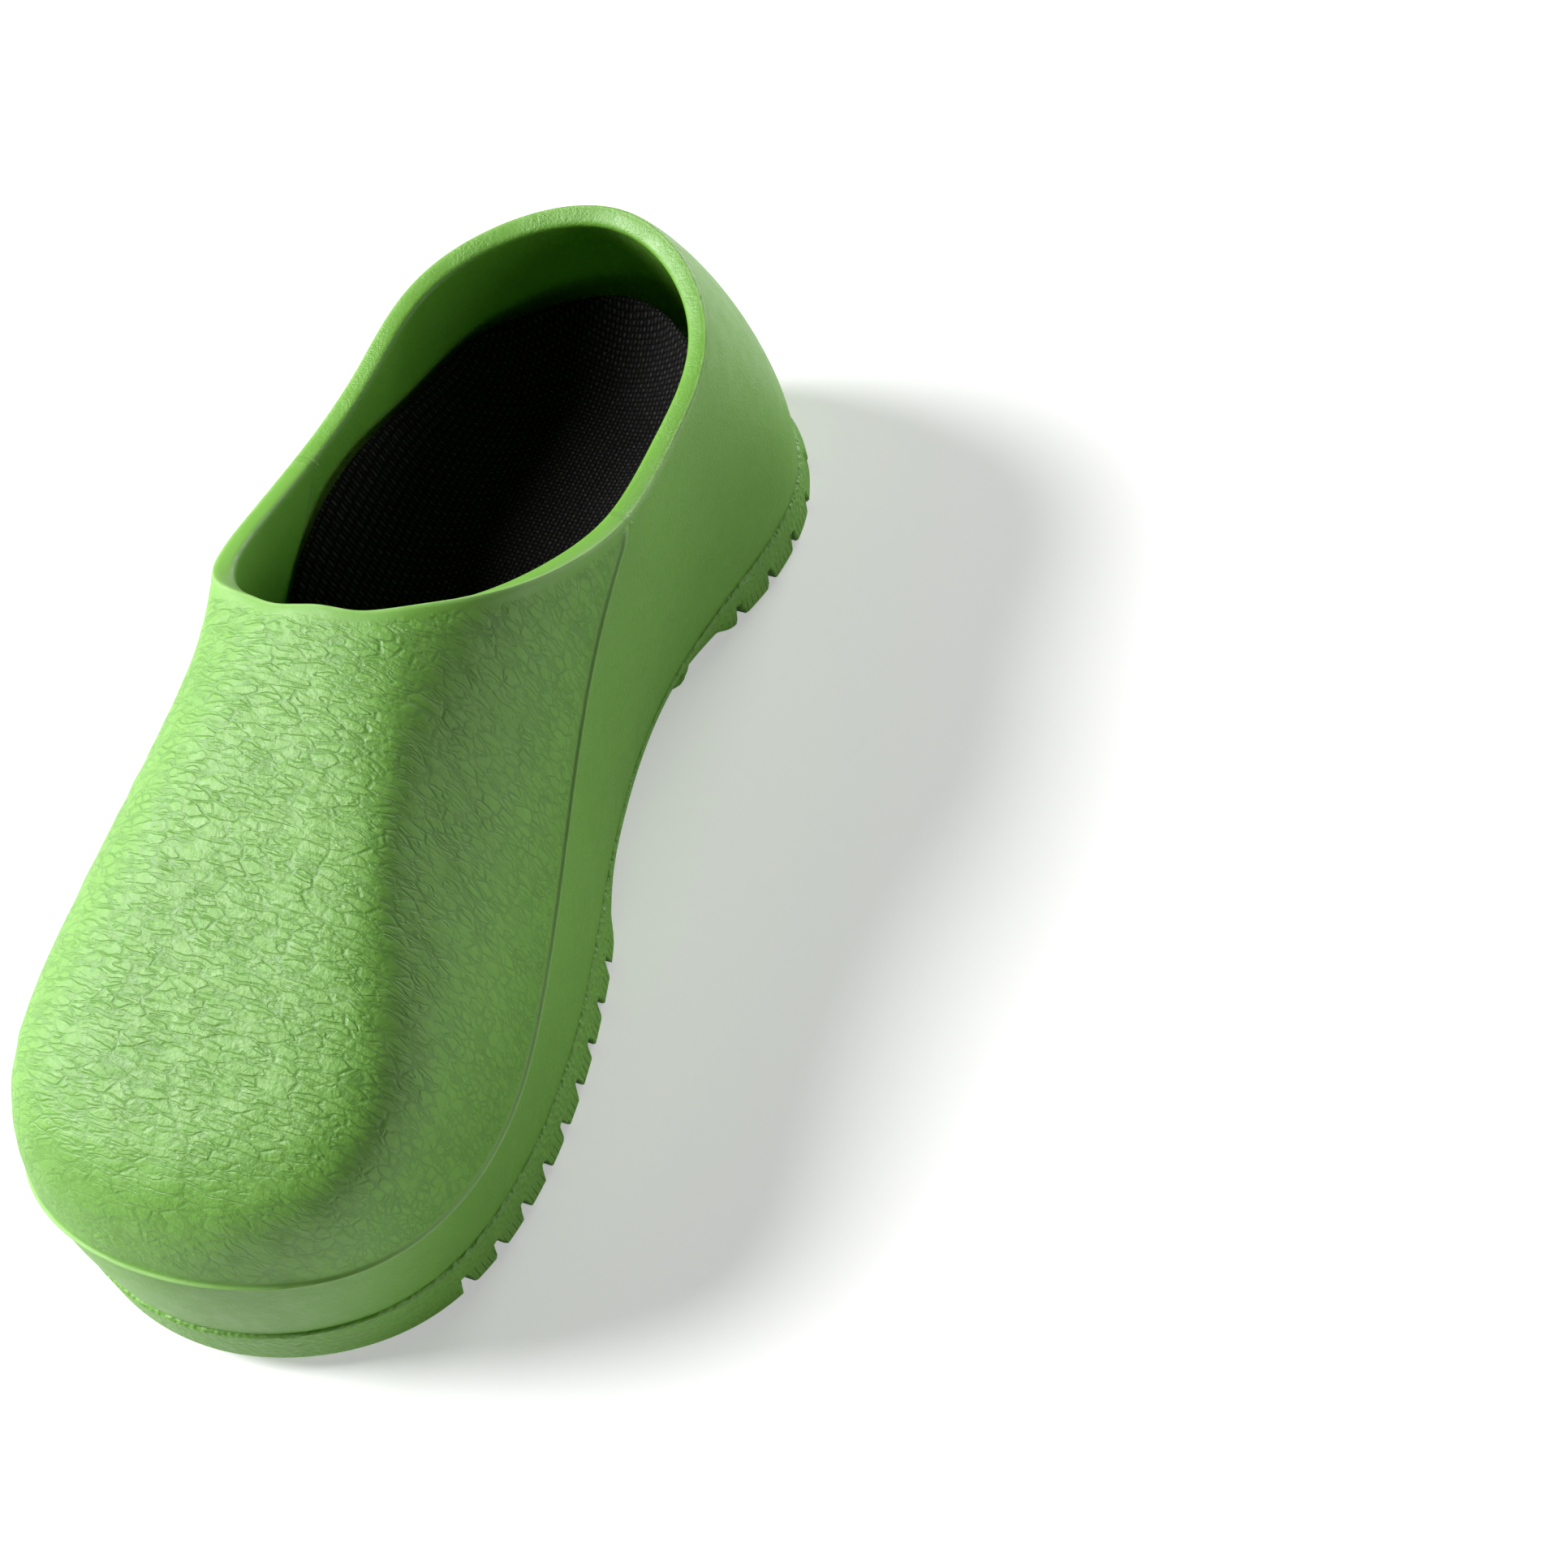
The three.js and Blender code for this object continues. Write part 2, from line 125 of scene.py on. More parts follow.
def outer_wall(station, v):
    """Points of the outer wall: v runs from 0 at the crease to 1 at the topline."""
    station, v = np.broadcast_arrays(np.asarray(station, float), np.asarray(v, float))
    edge = sole_edge(station)
    base = np.concatenate([edge, np.full(edge.shape[:-1] + (1,), float(CREASE_Z))], axis=-1)
    v = v[..., None]
    return ((1 - v) ** 3 * base + 3 * v * (1 - v) ** 2 * lower_guide(station)
            + 3 * v * v * (1 - v) * upper_guide(station) + v ** 3 * topline(station))


def unit_vectors(vectors):
    return vectors / np.linalg.norm(vectors, axis=-1, keepdims=True)


def wall_frame(station, v):
    """The wall's outward normal and its upward direction."""
    v = np.minimum(v, 1 - TINY)
    along = outer_wall(station + TINY, v) - outer_wall(station - TINY, v)
    up = outer_wall(station, v + TINY) - outer_wall(station, v)
    return unit_vectors(np.cross(along, up)), unit_vectors(up)


def inner_wall(station, v):
    """Points of the inner wall, inside the outer wall by the wall's thickness."""
    normal, _ = wall_frame(station, v)
    return outer_wall(station, v) - normal * mix(WALL_LOW, WALL_TOP, v)[..., None]


def floor_z(y):
    return mix(FLOOR_FORE, FLOOR_HEEL, ramp(FLOOR_RAMP, y))


def toe_lift(y):
    return TOE_LIFT * (np.maximum(0, TOE_LIFT_START - y) / TOE_LIFT_RUN) ** 2


def section_scale(station, v):
    """Millimetres of wall section per unit of v."""
    step = outer_wall(station, v + TINY) - outer_wall(station, v)
    return np.linalg.norm(step, axis=-1) / TINY


def floor_share(station):
    """The share v at which the wall section crosses the inside floor."""
    low = np.zeros_like(station)
    high = np.full_like(station, 0.5)
    for _ in range(HALVINGS):
        middle = (low + high) / 2
        point = outer_wall(station, middle)
        below = point[..., 2] < floor_z(point[..., 1])
        low = np.where(below, middle, low)
        high = np.where(below, high, middle)
    return low


# The parting line between the side shell and the grained vamp.
PANEL_LOW = 0.10
PANEL_TOE_RISE = 0.075
PANEL_TOE_REACH = 2
PANEL_SLOPE = 0.335
PANEL_TURN = 2.45
PANEL_SOFTNESS = 0.2
PANEL_TIP = 5.08             # station, from the toe, of the rounded tip at the collar
PANEL_TIP_ROUND = 0.22


def from_toe(station):
    station = np.mod(station, STATIONS)
    return np.minimum(station, STATIONS - station)


def parting_share(station):
    reach = from_toe(station)
    toe_rise = PANEL_TOE_RISE * np.maximum(0, 1 - (reach / PANEL_TOE_REACH) ** 2) ** 2
    climb = np.logaddexp(0, (reach - PANEL_TURN) / PANEL_SOFTNESS) * PANEL_SOFTNESS
    share = PANEL_LOW + toe_rise + PANEL_SLOPE * climb
    corner = np.clip((reach - PANEL_TIP + PANEL_TIP_ROUND) / PANEL_TIP_ROUND, 0, 1)
    rounding = 1 - np.sqrt(1 - corner ** 2)
    return np.minimum(mix(share, 1, rounding), 1)


# ---------------------------------------------------------------------------
# Mesh helpers
# ---------------------------------------------------------------------------


def make_piece(name, points, faces, body, material, node):
    """A smooth mesh piece from model millimetres, riding on a body in place of a CAD node."""
    placed = np.array(points, float)
    placed[:, 2] += toe_lift(placed[:, 1])
    mesh = bpy.data.meshes.new(name)
    mesh.from_pydata((placed * UNIT).tolist(), [], faces)
    mesh.validate()
    mesh.polygons.foreach_set("use_smooth", [True] * len(mesh.polygons))
    mesh.materials.append(material)
    piece = bpy.data.objects.new(name, mesh)
    bpy.context.scene.collection.objects.link(piece)
    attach(piece, body)
    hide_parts(node)
    return piece


def paint(piece, name, values):
    """A value for each vertex; the vertices past the end of the values get 0."""
    full = np.zeros(len(piece.data.vertices), np.float32)
    full[:values.size] = values.reshape(-1)
    piece.data.attributes.new(name, "FLOAT", "POINT").data.foreach_set("value", full)


def band_faces(loop_count, columns, start=0):
    """Quads between stacked closed loops; the loops turn anticlockwise seen from above."""
    i = np.arange(columns)
    following = (i + 1) % columns
    faces = []
    for k in range(loop_count - 1):
        low = start + k * columns
        high = low + columns
        faces.append(np.stack([low + i, low + following, high + following, high + i], axis=1))
    return np.concatenate(faces).tolist()


def cap(loop, first, next_index, cells, faces_up):
    """Closes a loop with rungs from the arch side to the outer side.

    Returns the new points between the rungs' ends, before any height is set, and faces.
    """
    count = len(loop)
    half = count // 2
    shares = (1 - np.cos(np.pi * np.arange(1, cells) / cells)) / 2
    near = loop[1:half]
    far = loop[:half:-1]
    inside = near[:, None] * (1 - shares[None, :, None]) + far[:, None] * shares[None, :, None]
    rungs = [[first] * (cells + 1)]
    for k in range(1, half):
        begin = next_index + (k - 1) * (cells - 1)
        rungs.append([first + k, *range(begin, begin + cells - 1), first + count - k])
    rungs.append([first + half] * (cells + 1))
    faces = []
    for low, high in zip(rungs, rungs[1:]):
        for j in range(cells):
            face = list(dict.fromkeys([low[j], high[j], high[j + 1], low[j + 1]]))
            faces.append(face if faces_up else face[::-1])
    return inside.reshape(-1, 3), faces


def closed_solid(loops, low_height, high_height, low_cells, high_cells):
    """A closed mesh from stacked loops, capped at both ends over height fields."""
    columns = loops.shape[1]
    points = [loops.reshape(-1, 3)]
    faces = band_faces(len(loops), columns)
    total = len(points[0])
    for loop, first, height, cells, up in (
            (loops[0], 0, low_height, low_cells, False),
            (loops[-1], total - columns, high_height, high_cells, True)):
        inside, cap_faces = cap(loop, first, sum(map(len, points)), cells, up)
        inside[:, 2] = height(inside[:, 0], inside[:, 1])
        points.append(inside)
        faces += cap_faces
    return np.concatenate(points), faces


def offset_loop(loop, distance):
    """A closed loop moved sideways; positive is outwards."""
    around = np.roll(loop, -1, 0) - np.roll(loop, 1, 0)
    outward = unit_vectors(np.stack([around[:, 1], -around[:, 0], 0 * around[:, 0]], axis=1))
    return loop + outward * np.broadcast_to(distance, len(loop))[:, None]


def raised(loop, distance, z):
    """A closed loop moved sideways and set to a height, or to one for each point."""
    moved = offset_loop(loop, distance)
    moved[:, 2] = z
    return moved


def at_height(loop, height):
    """A closed loop laid on a height field."""
    placed = loop.copy()
    placed[:, 2] = height(loop[:, 0], loop[:, 1])
    return placed


# ---------------------------------------------------------------------------
# Materials
# ---------------------------------------------------------------------------


class Nodes:
    """Short calls for building one material's node tree."""

    def __init__(self, name, color, roughness):
        self.material = bpy.data.materials.new(name)
        self.material.use_nodes = True
        self.tree = self.material.node_tree
        self.shader = self.tree.nodes["Principled BSDF"]
        self.shader.inputs["Base Color"].default_value = (*color, 1)
        self.shader.inputs["Roughness"].default_value = roughness
        self.place = self.add("ShaderNodeTexCoord").outputs["Object"]

    def add(self, kind, **settings):
        node = self.tree.nodes.new(kind)
        for key, value in settings.items():
            setattr(node, key, value)
        return node

    def link(self, value, socket):
        if isinstance(value, bpy.types.NodeSocket):
            self.tree.links.new(value, socket)
        else:
            socket.default_value = value

    def scaled(self, x, y, z, source=None):
        """The place in millimetres, divided by a cell size along each axis."""
        node = self.add("ShaderNodeMapping", vector_type="POINT")
        self.link(source or self.place, node.inputs["Vector"])
        node.inputs["Scale"].default_value = (1000 / x, 1000 / y, 1000 / z)
        return node.outputs["Vector"]

    def noise(self, size, detail=2, roughness=0.5, source=None):
        """Noise of a size in millimetres, about 0.3 to 0.7."""
        node = self.add("ShaderNodeTexNoise")
        self.link(source or self.scaled(size, size, size), node.inputs["Vector"])
        node.inputs["Scale"].default_value = 1
        node.inputs["Detail"].default_value = detail
        node.inputs["Roughness"].default_value = roughness
        return node.outputs["Fac"]

    def warped(self, size, amount):
        """The place moved about by noise: a noise size and a distance, in millimetres."""
        wobble = self.add("ShaderNodeTexNoise")
        self.link(self.scaled(size, size, size), wobble.inputs["Vector"])
        wobble.inputs["Scale"].default_value = 1
        wobble.inputs["Detail"].default_value = 2
        shift = self.add("ShaderNodeVectorMath", operation="MULTIPLY_ADD")
        self.link(wobble.outputs["Color"], shift.inputs[0])
        shift.inputs[1].default_value = (amount / 1000, amount / 1000, amount / 1000)
        self.link(self.place, shift.inputs[2])
        return shift.outputs["Vector"]

    def voronoi(self, vector, feature="F1"):
        """A cell texture's outputs; the feature says what its distance is measured to."""
        node = self.add("ShaderNodeTexVoronoi", feature=feature)
        self.link(vector, node.inputs["Vector"])
        node.inputs["Scale"].default_value = 1
        return node.outputs

    def folds(self, size, width, source):
        """Wavy lines where noise crosses its middle value: 1 on a line, 0 away from it."""
        field = self.noise(1, 2, 0.5, self.scaled(*size, source))
        away = self.math("ABSOLUTE", self.math("SUBTRACT", field, 0.5))
        return self.spread(away, 0.0, width, 1, 0, smooth=True)

    def math(self, operation, a, b=0.0, c=0.0):
        node = self.add("ShaderNodeMath", operation=operation)
        for value, socket in zip((a, b, c), node.inputs):
            self.link(value, socket)
        return node.outputs["Value"]

    def spread(self, value, low, high, to_low=0.0, to_high=1.0, smooth=False):
        """A value mapped from one range to another, and kept inside it."""
        node = self.add("ShaderNodeMapRange")
        if smooth:
            node.interpolation_type = "SMOOTHSTEP"
        for key, item in (("Value", value), ("From Min", low), ("From Max", high),
                          ("To Min", to_low), ("To Max", to_high)):
            self.link(item, node.inputs[key])
        return node.outputs["Result"]

    def mix_color(self, factor, first, second):
        """A mix of two colours, which are the node's sockets 6 and 7."""
        node = self.add("ShaderNodeMix", data_type="RGBA")
        self.link(factor, node.inputs[0])
        for item, socket in ((first, node.inputs[6]), (second, node.inputs[7])):
            self.link(item if isinstance(item, bpy.types.NodeSocket) else (*item, 1), socket)
        return node.outputs[2]

    def bump(self, height, distance_mm, under=None):
        """A normal for a height of 0 to 1 times a distance, over another normal."""
        node = self.add("ShaderNodeBump")
        node.inputs["Strength"].default_value = 1
        node.inputs["Distance"].default_value = distance_mm / 1000
        self.link(height, node.inputs["Height"])
        if under is not None:
            self.link(under, node.inputs["Normal"])
        return node.outputs["Normal"]

    def finish(self, color, roughness, normal):
        """Links what the surface needs; a roughness of None leaves the uniform one."""
        for key, value in (("Base Color", color), ("Roughness", roughness), ("Normal", normal)):
            if value is not None:
                self.link(value, self.shader.inputs[key])
        return self.material


GREEN = (0.145, 0.38, 0.03)
GREEN_LIGHT = (0.165, 0.41, 0.04)
# the colour of the painted shade in the vamp's creases
GREEN_CREASE_SHADE = (0.07, 0.23, 0.012)
# the colour of the painted highlight along the bead and the rim's outer edge
GREEN_EDGE_HIGHLIGHT = (0.36, 0.62, 0.2)
NOISE_SPAN = (0.3, 0.7)      # where nearly all of a noise's values lie
RIB_PITCH = 1.7
RIB_HEIGHT = 0.4
GRAIN_WARP = (5.0, 1.5)      # the size and reach of the noise that bends the grain
GRAIN_CELLS = (5.6, 2.1, 4.4)    # sizes across, along and up
GRAIN_FOLDS = (12.0, 2.4, 8.0)
GRAIN_PEBBLES = (1.2, 0.9, 1.1)
GRIT_SIZE = 1.1
CORK_GRAIN = 1.8
CORK_DARK = (0.24, 0.13, 0.06)
CORK_LIGHT = (0.52, 0.35, 0.19)
JUTE_THREAD = 1.6
JUTE_DARK = (0.2, 0.13, 0.06)
JUTE_LIGHT = (0.5, 0.38, 0.22)
WEAVE_THREAD = 1.05
WEAVE_DARK = (0.003, 0.003, 0.003)
# the colour of the painted highlight on the weave's raised threads
WEAVE_HIGHLIGHT = (0.05, 0.047, 0.049)


def foam(name, roughness):
    """Nodes for green foam: a soft plastic that lets a little light in."""
    nodes = Nodes(name, GREEN, roughness)
    shader = nodes.shader
    shader.inputs["Specular IOR Level"].default_value = 0.9
    shader.inputs["Subsurface Weight"].default_value = 0.08
    shader.inputs["Subsurface Radius"].default_value = (0.6, 1.0, 0.25)
    shader.inputs["Subsurface Scale"].default_value = 0.0015
    return nodes


def green_tone(nodes, size):
    """Green that drifts between two close tones over a size in millimetres."""
    return nodes.mix_color(nodes.spread(nodes.noise(size, 3), *NOISE_SPAN), GREEN, GREEN_LIGHT)


def varied(nodes, noise_value, low, high):
    """A value that follows a noise from low to high."""
    return nodes.spread(noise_value, *NOISE_SPAN, low, high)


def threads(nodes, pitch):
    """Waves across and along the foot, half a wave to a thread."""
    place = nodes.add("ShaderNodeSeparateXYZ")
    nodes.link(nodes.scaled(pitch, pitch, pitch), place.inputs["Vector"])
    return [nodes.math("SINE", nodes.math("MULTIPLY", place.outputs[axis], math.pi))
            for axis in "XY"]


def painted_edge_highlight(nodes, color):
    """Painted highlight: foam painted lighter along raised edges, unevenly by a noise."""
    edge_highlight = nodes.add("ShaderNodeAttribute", attribute_name="edge_highlight").outputs["Fac"]
    patch = varied(nodes, nodes.noise(5, 3), 0.3, 0.7)
    return nodes.mix_color(nodes.math("MULTIPLY", edge_highlight, patch), color, GREEN_EDGE_HIGHLIGHT)


def shell_material():
    """Smooth moulded skin with a fine stipple and faint flow marks."""
    nodes = foam("shell_foam", 0.42)
    # painted highlight along the rim's outer edge, over the drifting green
    color = painted_edge_highlight(nodes, green_tone(nodes, 28))
    stipple = nodes.noise(0.75, 3, 0.7)
    patch = nodes.spread(nodes.noise(9, 2), 0.35, 0.65, 0.35, 1.0)
    height = nodes.math("MULTIPLY", stipple, patch)
    waves = nodes.bump(nodes.noise(16, 2), 0.3)
    normal = nodes.bump(height, 0.32, under=waves)
    roughness = varied(nodes, nodes.noise(3, 3), 0.44, 0.56)
    return nodes.finish(color, roughness, normal)


def vamp_material():
    """Leather-like grain: creases between pebbles, wide across the foot, and fine wrinkles;
    painted shade darkens the creases.
    """
    nodes = foam("vamp_foam", 0.42)
    depth = nodes.add("ShaderNodeAttribute", attribute_name="grain").outputs["Fac"]
    warped = nodes.warped(*GRAIN_WARP)
    cells = nodes.scaled(*GRAIN_CELLS, warped)
    to_border = nodes.voronoi(cells, "DISTANCE_TO_EDGE")["Distance"]
    border = nodes.spread(to_border, 0.0, 0.15, 1, 0, smooth=True)
    fold = nodes.folds(GRAIN_FOLDS, 0.05, warped)
    patch = nodes.spread(nodes.noise(6, 2), 0.36, 0.62, 0.25, 1.0)
    crease = nodes.math("MAXIMUM", nodes.math("MULTIPLY", fold, 0.8),
                        nodes.math("MULTIPLY", border, patch))
    dome = nodes.math("POWER", nodes.voronoi(cells, "SMOOTH_F1")["Distance"], 2)
    pebble = nodes.voronoi(nodes.scaled(*GRAIN_PEBBLES), "SMOOTH_F1")["Distance"]
    deep = nodes.math("MULTIPLY", crease, depth)
    height = nodes.math("MULTIPLY", deep, -0.15)
    height = nodes.math("MULTIPLY_ADD", dome, -0.16, height)
    height = nodes.math("MULTIPLY_ADD", pebble, -0.12, height)
    height = nodes.math("MULTIPLY_ADD", nodes.noise(0.5, 3, 0.65), 0.14, height)
    height = nodes.math("MULTIPLY", height, nodes.spread(depth, 0.0, 0.5, 0.15, 1.0))
    # painted shade: the creases are darkened by their depth, as shade would fall in them
    shade = nodes.math("MULTIPLY", deep, 0.6)
    # painted highlight along the bead and the rim's outer edge, over the crease shade
    color = painted_edge_highlight(nodes, nodes.mix_color(shade, green_tone(nodes, 22), GREEN_CREASE_SHADE))
    roughness = varied(nodes, nodes.noise(2.5, 3), 0.52, 0.64)
    return nodes.finish(color, roughness, nodes.bump(height, 1.0))


def outsole_material():
    """Gritty tread foam; some of its blocks carry fine ribs across the foot."""
    nodes = foam("outsole_foam", 0.55)
    ribbed = nodes.add("ShaderNodeAttribute", attribute_name="ribbed").outputs["Fac"]
    grit = nodes.voronoi(nodes.scaled(GRIT_SIZE, GRIT_SIZE, GRIT_SIZE), "SMOOTH_F1")["Distance"]
    coarse = nodes.math("MULTIPLY", grit, nodes.spread(ribbed, 0.0, 1.0, 1.0, 0.15))
    normal = nodes.bump(coarse, 0.5)
    normal = nodes.bump(nodes.noise(0.45, 3, 0.6), 0.12, under=normal)
    place = nodes.add("ShaderNodeSeparateXYZ")
    nodes.link(nodes.scaled(RIB_PITCH, RIB_PITCH, RIB_PITCH), place.inputs["Vector"])
    wave = nodes.math("SINE", nodes.math("MULTIPLY", place.outputs["Y"], 2 * math.pi))
    ribs = nodes.math("MULTIPLY", nodes.spread(wave, -0.5, 0.5, smooth=True), ribbed)
    normal = nodes.bump(ribs, RIB_HEIGHT, under=normal)
    roughness = varied(nodes, nodes.noise(2.2, 3), 0.5, 0.64)
    return nodes.finish(green_tone(nodes, 24), roughness, normal)


def plate_material():
    """Smooth moulded plate with faint handling marks."""
    nodes = foam("plate_foam", 0.4)
    scuffs = nodes.noise(1, 4, 0.6, nodes.scaled(9, 1.2, 9))
    normal = nodes.bump(nodes.noise(0.7, 2), 0.05, under=nodes.bump(scuffs, 0.06))
    return nodes.finish(green_tone(nodes, 14), varied(nodes, scuffs, 0.34, 0.5), normal)


def lining_material():
    """Black plain weave with thread-to-thread variation; its raised threads carry a painted
    highlight.
    """
    nodes = Nodes("lining_textile", (0.008, 0.008, 0.01), 0.9)
    nodes.shader.inputs["Specular IOR Level"].default_value = 0.1
    across, along = threads(nodes, WEAVE_THREAD)
    over = nodes.math("MULTIPLY", across, along)
    height = nodes.math("ADD", nodes.math("ABSOLUTE", over), nodes.math("MULTIPLY", over, 0.5))
    normal = nodes.bump(height, 0.5)
    normal = nodes.bump(nodes.noise(0.3, 3), 0.2, under=normal)
    # painted highlight: the raised threads are painted lighter, and a noise varies it from
    # thread to thread
    shade = nodes.spread(height, 0.1, 1.1)
    highlight_mottle = nodes.math("MULTIPLY", shade, varied(nodes, nodes.noise(1.6, 3), 0.3, 1))
    color = nodes.mix_color(highlight_mottle, WEAVE_DARK, WEAVE_HIGHLIGHT)
    return nodes.finish(color, None, normal)


def cork_material():
    """Pressed cork: grains that each have their own tone."""
    nodes = Nodes("cork", (0.42, 0.27, 0.14), 0.85)
    grains = nodes.voronoi(nodes.scaled(CORK_GRAIN, CORK_GRAIN, CORK_GRAIN))
    tone = nodes.add("ShaderNodeSeparateColor")
    nodes.link(grains["Color"], tone.inputs["Color"])
    color = nodes.mix_color(tone.outputs["Red"], CORK_DARK, CORK_LIGHT)
    return nodes.finish(color, None, nodes.bump(grains["Distance"], 0.3))


def jute_material():
    """Coarse plain weave in straw colours."""
    nodes = Nodes("jute", (0.4, 0.29, 0.16), 0.95)
    across, along = threads(nodes, JUTE_THREAD)
    height = nodes.math("ABSOLUTE", nodes.math("MULTIPLY", across, along))
    color = nodes.mix_color(height, JUTE_DARK, JUTE_LIGHT)
    return nodes.finish(color, None, nodes.bump(height, 0.6))


# ---------------------------------------------------------------------------
# Side shell and vamp
# ---------------------------------------------------------------------------

RIM_BULGE = 2.2              # height of the rounded rim over the end of the wall
RIM_ROWS = 16
RIM_ROUNDNESS = 0.6          # 1 is a round rim, less is squarer
RIM_START = (-0.03, -0.002)  # the rim sets in over these shares before the wall's end
FLASH_HEIGHT = 0.28          # thin mould flash along the rim's outer edge
FLASH_ANGLE = 0.75
FLASH_WIDTH = 0.13
# spread of the painted highlight across the rim, around its outer edge
HIGHLIGHT_WIDTH = 0.3
SHELL_COLUMNS = 640
WALL_ROWS = 60
INSIDE_ROWS = 30
FLOOR_CELLS = 14
HIDDEN_CELLS = 8              # across caps that no one sees


def rim_share(station):
    """The share at which the wall ends and the rounded rim begins."""
    return 1 - RIM_BULGE / section_scale(station, np.full(station.shape, 1 - 2 * TINY))


def rim_highlight():
    """How much painted highlight each row of the rim gets: most along its outer edge."""
    angle = math.pi * np.arange(1, RIM_ROWS) / RIM_ROWS
    return np.exp(-((angle - FLASH_ANGLE) / HIGHLIGHT_WIDTH) ** 2)[:, None]


def edge_cap(station, share, rows):
    """Rows from the outer to the inner wall: a rounded rim, or flat where the vamp sits."""
    outer = outer_wall(station, share)
    inner = inner_wall(station, share)
    normal, up = wall_frame(station, share)
    rim = rim_share(station)
    is_rim = ramp(RIM_START, share - rim)
    middle = (outer + inner) / 2
    result = []
    for k in range(1, rows):
        angle = math.pi * k / rows
        flash = FLASH_HEIGHT * math.exp(-((angle - FLASH_ANGLE) / FLASH_WIDTH) ** 2)
        across = math.copysign(abs(math.cos(angle)) ** RIM_ROUNDNESS, math.cos(angle))
        bulge = (RIM_BULGE * math.sin(angle) ** RIM_ROUNDNESS) * is_rim
        outward = up * math.sin(angle) + normal * math.cos(angle)
        result.append(middle + (outer - middle) * across
                      + up * bulge[:, None] + outward * (flash * is_rim)[:, None])
    return result


def build_side_shell():
    station = np.arange(SHELL_COLUMNS) * STATIONS / SHELL_COLUMNS
    top = np.minimum(parting_share(station), rim_share(station))
    bottom = floor_share(station)
    loops = [outer_wall(station, top * share) for share in np.linspace(0, 1, WALL_ROWS)]
    loops += edge_cap(station, top, RIM_ROWS)
    for share in np.linspace(0, 1, INSIDE_ROWS):
        loops.append(inner_wall(station, mix(top, bottom, share)))
    loops[-1][:, 2] = floor_z(loops[-1][:, 1])
    points, faces = closed_solid(
        np.array(loops), lambda x, y: CREASE_Z + 0 * x, lambda x, y: floor_z(y),
        HIDDEN_CELLS, FLOOR_CELLS)
    piece = make_piece("side_shell_skin", points, faces, "clog", shell_material(),
                       "side_shell")
    # painted highlight: the rim's rows get a lighter colour along its outer edge
    edge_highlight = np.zeros((len(loops), SHELL_COLUMNS))
    edge_highlight[WALL_ROWS:WALL_ROWS + RIM_ROWS - 1] = rim_highlight()
    paint(piece, "edge_highlight", edge_highlight)


VAMP_COLUMNS = 400
VAMP_ROWS = 190
VAMP_INSIDE_ROWS = 30
VAMP_CROWDING = 0.65         # how much closer the rows lie at the parting line, for its bead
BEAD_HEIGHT = 0.8
BEAD_STEP = 0.3              # the vamp stands this proud of the shell
BEAD_OFFSET = 0.7
BEAD_WIDTH = 0.55
STEP_FADE = (0, 3)           # the step fades out over this distance from the rim
SWELL = 0.22                 # soft unevenness under the grain
SWELL_SIZE = (7.0, 4.5, 7.0)
GRAIN_EDGE = (1.0, 3.2)      # the grain fades in over this distance from the bead
GRAIN_RIM = (0.0, 1.6)
GRAIN_TOE = (-130, -104)     # the grain is weaker at the front of the toe
GRAIN_TOE_DEPTH = 0.6
CREST_SHARE = 0.4            # the toe's front turns down over a soft crest
CREST_WIDTH = 0.13
CREST_HEIGHT = 1.5
CREST_MIDDLE = 0.4
CREST_REACH = (1.2, 2.6)
SHOULDER_DIP = 2.4           # the arch side of the instep falls away in a soft shoulder
SHOULDER_AT = (2.2, 0.74)    # station and share
SHOULDER_SIZE = (0.75, 0.15)


def swell_field(points):
    """Soft unevenness, about -1 to 1."""
    size = Vector(SWELL_SIZE)
    return np.array([noise.noise(Vector(p / size[k] for k, p in enumerate(point)))
                     for point in points.tolist()])


